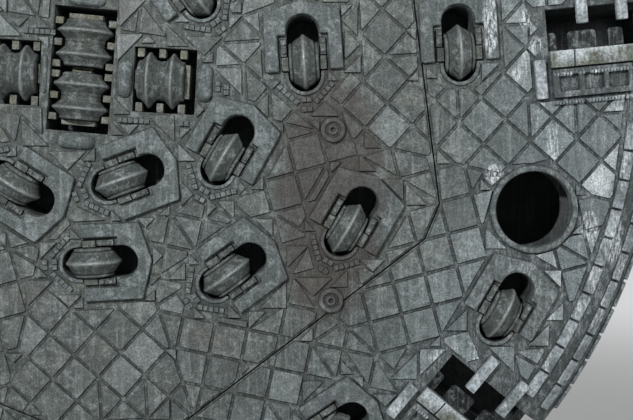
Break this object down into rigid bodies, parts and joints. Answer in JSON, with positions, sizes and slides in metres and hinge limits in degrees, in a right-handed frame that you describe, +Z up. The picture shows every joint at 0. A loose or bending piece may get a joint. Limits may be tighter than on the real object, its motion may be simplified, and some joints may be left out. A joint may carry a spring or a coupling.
{
  "type": "tunnel boring machine cutterhead",
  "caption": "Round steel cutterhead with free-turning disc cutters in slotted housings, a wear-plate face, rim buckets and a bolted rear flange.",
  "frame": {"origin": "centre of the rear mounting flange's back face, on the head's axis of rotation", "axes": "+Z up, the cutting face looks along -Y, +X to the right as one faces the head; the head turns about Y"},
  "size_m": [9.2778, 2, 9.2778],
  "materials": {
    "face_steel": "matte, dusty",
    "structure_steel": "matte",
    "wear_steel": "worn",
    "cutter_steel": "polished by rock"
  },
  "bodies": {
    "head": {"centre_face": "face_steel", "ring_face": "face_steel", "gauge_rim": "face_steel", "bulkhead": "structure_steel", "chute_walls": "structure_steel", "rear_drum": "structure_steel", "cutter_boxes": "structure_steel", "cutter_saddles": "wear_steel", "cutter_guards": "wear_steel", "bucket_lips": "wear_steel", "grizzly_bars": "wear_steel", "manhole_ring": "wear_steel", "spray_nozzles": "wear_steel", "wear_plates": "wear_steel"},
    "cutter_01": {"cutter_01": "cutter_steel"},
    "cutter_02": {"cutter_02": "cutter_steel"},
    "cutter_03": {"cutter_03": "cutter_steel"},
    "cutter_04": {"cutter_04": "cutter_steel"},
    "cutter_05": {"cutter_05": "cutter_steel"},
    "cutter_06": {"cutter_06": "cutter_steel"},
    "cutter_07": {"cutter_07": "cutter_steel"},
    "cutter_08": {"cutter_08": "cutter_steel"},
    "cutter_09": {"cutter_09": "cutter_steel"},
    "cutter_10": {"cutter_10": "cutter_steel"},
    "cutter_11": {"cutter_11": "cutter_steel"},
    "cutter_12": {"cutter_12": "cutter_steel"},
    "cutter_13": {"cutter_13": "cutter_steel"},
    "cutter_14": {"cutter_14": "cutter_steel"},
    "cutter_15": {"cutter_15": "cutter_steel"},
    "cutter_16": {"cutter_16": "cutter_steel"},
    "cutter_17": {"cutter_17": "cutter_steel"},
    "cutter_18": {"cutter_18": "cutter_steel"},
    "cutter_19": {"cutter_19": "cutter_steel"},
    "cutter_20": {"cutter_20": "cutter_steel"},
    "cutter_21": {"cutter_21": "cutter_steel"},
    "cutter_22": {"cutter_22": "cutter_steel"},
    "cutter_23": {"cutter_23": "cutter_steel"},
    "cutter_24": {"cutter_24": "cutter_steel"},
    "cutter_25": {"cutter_25": "cutter_steel"},
    "cutter_26": {"cutter_26": "cutter_steel"},
    "cutter_27": {"cutter_27": "cutter_steel"},
    "cutter_28": {"cutter_28": "cutter_steel"},
    "cutter_29": {"cutter_29": "cutter_steel"},
    "cutter_30": {"cutter_30": "cutter_steel"},
    "cutter_31": {"cutter_31": "cutter_steel"},
    "cutter_32": {"cutter_32": "cutter_steel"},
    "cutter_33": {"cutter_33": "cutter_steel"},
    "cutter_34": {"cutter_34": "cutter_steel"},
    "cutter_35": {"cutter_35": "cutter_steel"},
    "cutter_36": {"cutter_36": "cutter_steel"},
    "cutter_37": {"cutter_37": "cutter_steel"},
    "cutter_38": {"cutter_38": "cutter_steel"},
    "cutter_39": {"cutter_39": "cutter_steel"},
    "cutter_40": {"cutter_40": "cutter_steel"},
    "cutter_41": {"cutter_41": "cutter_steel"},
    "cutter_42": {"cutter_42": "cutter_steel"},
    "twin_cutter_1": {"twin_cutter_1": "cutter_steel"},
    "twin_cutter_2": {"twin_cutter_2": "cutter_steel"},
    "twin_cutter_3": {"twin_cutter_3": "cutter_steel"},
    "twin_cutter_4": {"twin_cutter_4": "cutter_steel"}
  },
  "joints": [
    {"name": "cutter_01_spin", "type": "hinge", "parent": "head", "child": "cutter_01", "pos_m": [1.7186, -1.784, 0.10812], "axis": [0.998, 0, 0.0628], "continuous": true},
    {"name": "cutter_02_spin", "type": "hinge", "parent": "head", "child": "cutter_02", "pos_m": [2.91224, -1.784, 0.18322], "axis": [0.998, 0, 0.0628], "continuous": true},
    {"name": "cutter_03_spin", "type": "hinge", "parent": "head", "child": "cutter_03", "pos_m": [0.86656, -1.784, 0.64122], "axis": [0.8039, 0, 0.5948], "continuous": true},
    {"name": "cutter_04_spin", "type": "hinge", "parent": "head", "child": "cutter_04", "pos_m": [2.34836, -1.784, 1.57209], "axis": [0.831, 0, 0.5563], "continuous": true},
    {"name": "cutter_05_spin", "type": "hinge", "parent": "head", "child": "cutter_05", "pos_m": [2.95997, -1.784, 1.98152], "axis": [0.831, 0, 0.5563], "continuous": true},
    {"name": "cutter_06_spin", "type": "hinge", "parent": "head", "child": "cutter_06", "pos_m": [0.89601, -1.784, 1.57726], "axis": [0.4939, 0, 0.8695], "continuous": true},
    {"name": "cutter_07_spin", "type": "hinge", "parent": "head", "child": "cutter_07", "pos_m": [1.62309, -1.784, 2.85716], "axis": [0.4939, 0, 0.8695], "continuous": true},
    {"name": "cutter_08_spin", "type": "hinge", "parent": "head", "child": "cutter_08", "pos_m": [1.94119, -1.784, 3.41711], "axis": [0.4939, 0, 0.8695], "continuous": true},
    {"name": "cutter_09_spin", "type": "hinge", "parent": "head", "child": "cutter_09", "pos_m": [-0.05904, -1.784, 1.53687], "axis": [-0.0384, 0, 0.9993], "continuous": true},
    {"name": "cutter_10_spin", "type": "hinge", "parent": "head", "child": "cutter_10", "pos_m": [-0.08729, -1.784, 2.27232], "axis": [-0.0384, 0, 0.9993], "continuous": true},
    {"name": "cutter_11_spin", "type": "hinge", "parent": "head", "child": "cutter_11", "pos_m": [-0.11908, -1.784, 3.09971], "axis": [-0.0384, 0, 0.9993], "continuous": true},
    {"name": "cutter_12_spin", "type": "hinge", "parent": "head", "child": "cutter_12", "pos_m": [-0.65087, -1.784, 0.97225], "axis": [-0.5563, 0, 0.831], "continuous": true},
    {"name": "cutter_13_spin", "type": "hinge", "parent": "head", "child": "cutter_13", "pos_m": [-1.11148, -1.784, 1.66031], "axis": [-0.5563, 0, 0.831], "continuous": true},
    {"name": "cutter_14_spin", "type": "hinge", "parent": "head", "child": "cutter_14", "pos_m": [-1.46973, -1.784, 2.19546], "axis": [-0.5563, 0, 0.831], "continuous": true},
    {"name": "cutter_15_spin", "type": "hinge", "parent": "head", "child": "cutter_15", "pos_m": [-1.93035, -1.784, 2.88352], "axis": [-0.5563, 0, 0.831], "continuous": true},
    {"name": "cutter_16_spin", "type": "hinge", "parent": "head", "child": "cutter_16", "pos_m": [-2.2886, -1.784, 3.41867], "axis": [-0.5563, 0, 0.831], "continuous": true},
    {"name": "cutter_17_spin", "type": "hinge", "parent": "head", "child": "cutter_17", "pos_m": [-1.89724, -1.784, 1.07778], "axis": [-0.8695, 0, 0.4939], "continuous": true},
    {"name": "cutter_18_spin", "type": "hinge", "parent": "head", "child": "cutter_18", "pos_m": [-3.17713, -1.784, 1.80486], "axis": [-0.8695, 0, 0.4939], "continuous": true},
    {"name": "cutter_19_spin", "type": "hinge", "parent": "head", "child": "cutter_19", "pos_m": [-1.3507, -1.784, 0.09445], "axis": [-0.9976, 0, 0.0698], "continuous": true},
    {"name": "cutter_20_spin", "type": "hinge", "parent": "head", "child": "cutter_20", "pos_m": [-2.08491, -1.784, -0.14579], "axis": [-0.9976, 0, -0.0698], "continuous": true},
    {"name": "cutter_21_spin", "type": "hinge", "parent": "head", "child": "cutter_21", "pos_m": [-2.72734, -1.784, -0.19071], "axis": [-0.9976, 0, -0.0698], "continuous": true},
    {"name": "cutter_22_spin", "type": "hinge", "parent": "head", "child": "cutter_22", "pos_m": [-1.41162, -1.784, -0.815], "axis": [-0.866, 0, -0.5], "continuous": true},
    {"name": "cutter_23_spin", "type": "hinge", "parent": "head", "child": "cutter_23", "pos_m": [-2.01101, -1.784, -1.41336], "axis": [-0.8181, 0, -0.575], "continuous": true},
    {"name": "cutter_24_spin", "type": "hinge", "parent": "head", "child": "cutter_24", "pos_m": [-2.61317, -1.784, -1.83657], "axis": [-0.8181, 0, -0.575], "continuous": true},
    {"name": "cutter_25_spin", "type": "hinge", "parent": "head", "child": "cutter_25", "pos_m": [-3.14006, -1.784, -2.20687], "axis": [-0.8181, 0, -0.575], "continuous": true},
    {"name": "cutter_26_spin", "type": "hinge", "parent": "head", "child": "cutter_26", "pos_m": [-0.53268, -1.784, -0.82973], "axis": [-0.5402, 0, -0.8415], "continuous": true},
    {"name": "cutter_27_spin", "type": "hinge", "parent": "head", "child": "cutter_27", "pos_m": [-1.37761, -1.784, -2.14585], "axis": [-0.5402, 0, -0.8415], "continuous": true},
    {"name": "cutter_28_spin", "type": "hinge", "parent": "head", "child": "cutter_28", "pos_m": [0.07064, -1.784, -1.44427], "axis": [0.0488, 0, -0.9988], "continuous": true},
    {"name": "cutter_29_spin", "type": "hinge", "parent": "head", "child": "cutter_29", "pos_m": [0.14704, -1.784, -3.00641], "axis": [0.0488, 0, -0.9988], "continuous": true},
    {"name": "cutter_30_spin", "type": "hinge", "parent": "head", "child": "cutter_30", "pos_m": [0.29318, -1.784, -0.80551], "axis": [0.342, 0, -0.9397], "continuous": true},
    {"name": "cutter_31_spin", "type": "hinge", "parent": "head", "child": "cutter_31", "pos_m": [1.10953, -1.784, -1.54977], "axis": [0.5821, 0, -0.8131], "continuous": true},
    {"name": "cutter_32_spin", "type": "hinge", "parent": "head", "child": "cutter_32", "pos_m": [1.89872, -1.784, -2.79388], "axis": [0.5621, 0, -0.8271], "continuous": true},
    {"name": "cutter_33_spin", "type": "hinge", "parent": "head", "child": "cutter_33", "pos_m": [2.2607, -1.784, -3.32652], "axis": [0.5621, 0, -0.8271], "continuous": true},
    {"name": "cutter_34_spin", "type": "hinge", "parent": "head", "child": "cutter_34", "pos_m": [1.09292, -1.784, -0.631], "axis": [0.866, 0, -0.5], "continuous": true},
    {"name": "cutter_35_spin", "type": "hinge", "parent": "head", "child": "cutter_35", "pos_m": [2.04902, -1.784, -1.183], "axis": [0.866, 0, -0.5], "continuous": true},
    {"name": "cutter_36_spin", "type": "hinge", "parent": "head", "child": "cutter_36", "pos_m": [3.25713, -1.784, -1.85031], "axis": [0.8695, 0, -0.4939], "continuous": true},
    {"name": "cutter_37_spin", "type": "hinge", "parent": "head", "child": "cutter_37", "pos_m": [1.11205, -1.77754, -4.15021], "axis": [0.2529, 0.212, -0.944], "continuous": true},
    {"name": "cutter_38_spin", "type": "hinge", "parent": "head", "child": "cutter_38", "pos_m": [-0.5905, -1.75985, -4.31076], "axis": [-0.1242, 0.4035, -0.9065], "continuous": true},
    {"name": "cutter_39_spin", "type": "hinge", "parent": "head", "child": "cutter_39", "pos_m": [3.48668, -1.73161, 2.6851], "axis": [0.6461, 0.5787, 0.4976], "continuous": true},
    {"name": "cutter_40_spin", "type": "hinge", "parent": "head", "child": "cutter_40", "pos_m": [-3.92163, -1.69643, -2.08517], "axis": [-0.6107, 0.7222, -0.3247], "continuous": true},
    {"name": "cutter_41_spin", "type": "hinge", "parent": "head", "child": "cutter_41", "pos_m": [1.45689, -1.65418, 4.23111], "axis": [0.1767, 0.8398, 0.5133], "continuous": true},
    {"name": "cutter_42_spin", "type": "hinge", "parent": "head", "child": "cutter_42", "pos_m": [-1.40542, -1.60639, -4.27462], "axis": [-0.117, 0.9272, -0.3559], "continuous": true},
    {"name": "twin_cutter_1_spin", "type": "hinge", "parent": "head", "child": "twin_cutter_1", "pos_m": [0.02275, -1.784, 0.24997], "axis": [0.0906, 0, 0.9959], "continuous": true},
    {"name": "twin_cutter_2_spin", "type": "hinge", "parent": "head", "child": "twin_cutter_2", "pos_m": [-0.01441, -1.784, -0.15835], "axis": [-0.0906, 0, -0.9959], "continuous": true},
    {"name": "twin_cutter_3_spin", "type": "hinge", "parent": "head", "child": "twin_cutter_3", "pos_m": [0.61298, -1.784, -0.03534], "axis": [0.9983, 0, -0.0576], "continuous": true},
    {"name": "twin_cutter_4_spin", "type": "hinge", "parent": "head", "child": "twin_cutter_4", "pos_m": [-0.52313, -1.784, 0.03016], "axis": [-0.9983, 0, 0.0576], "continuous": true}
  ]
}
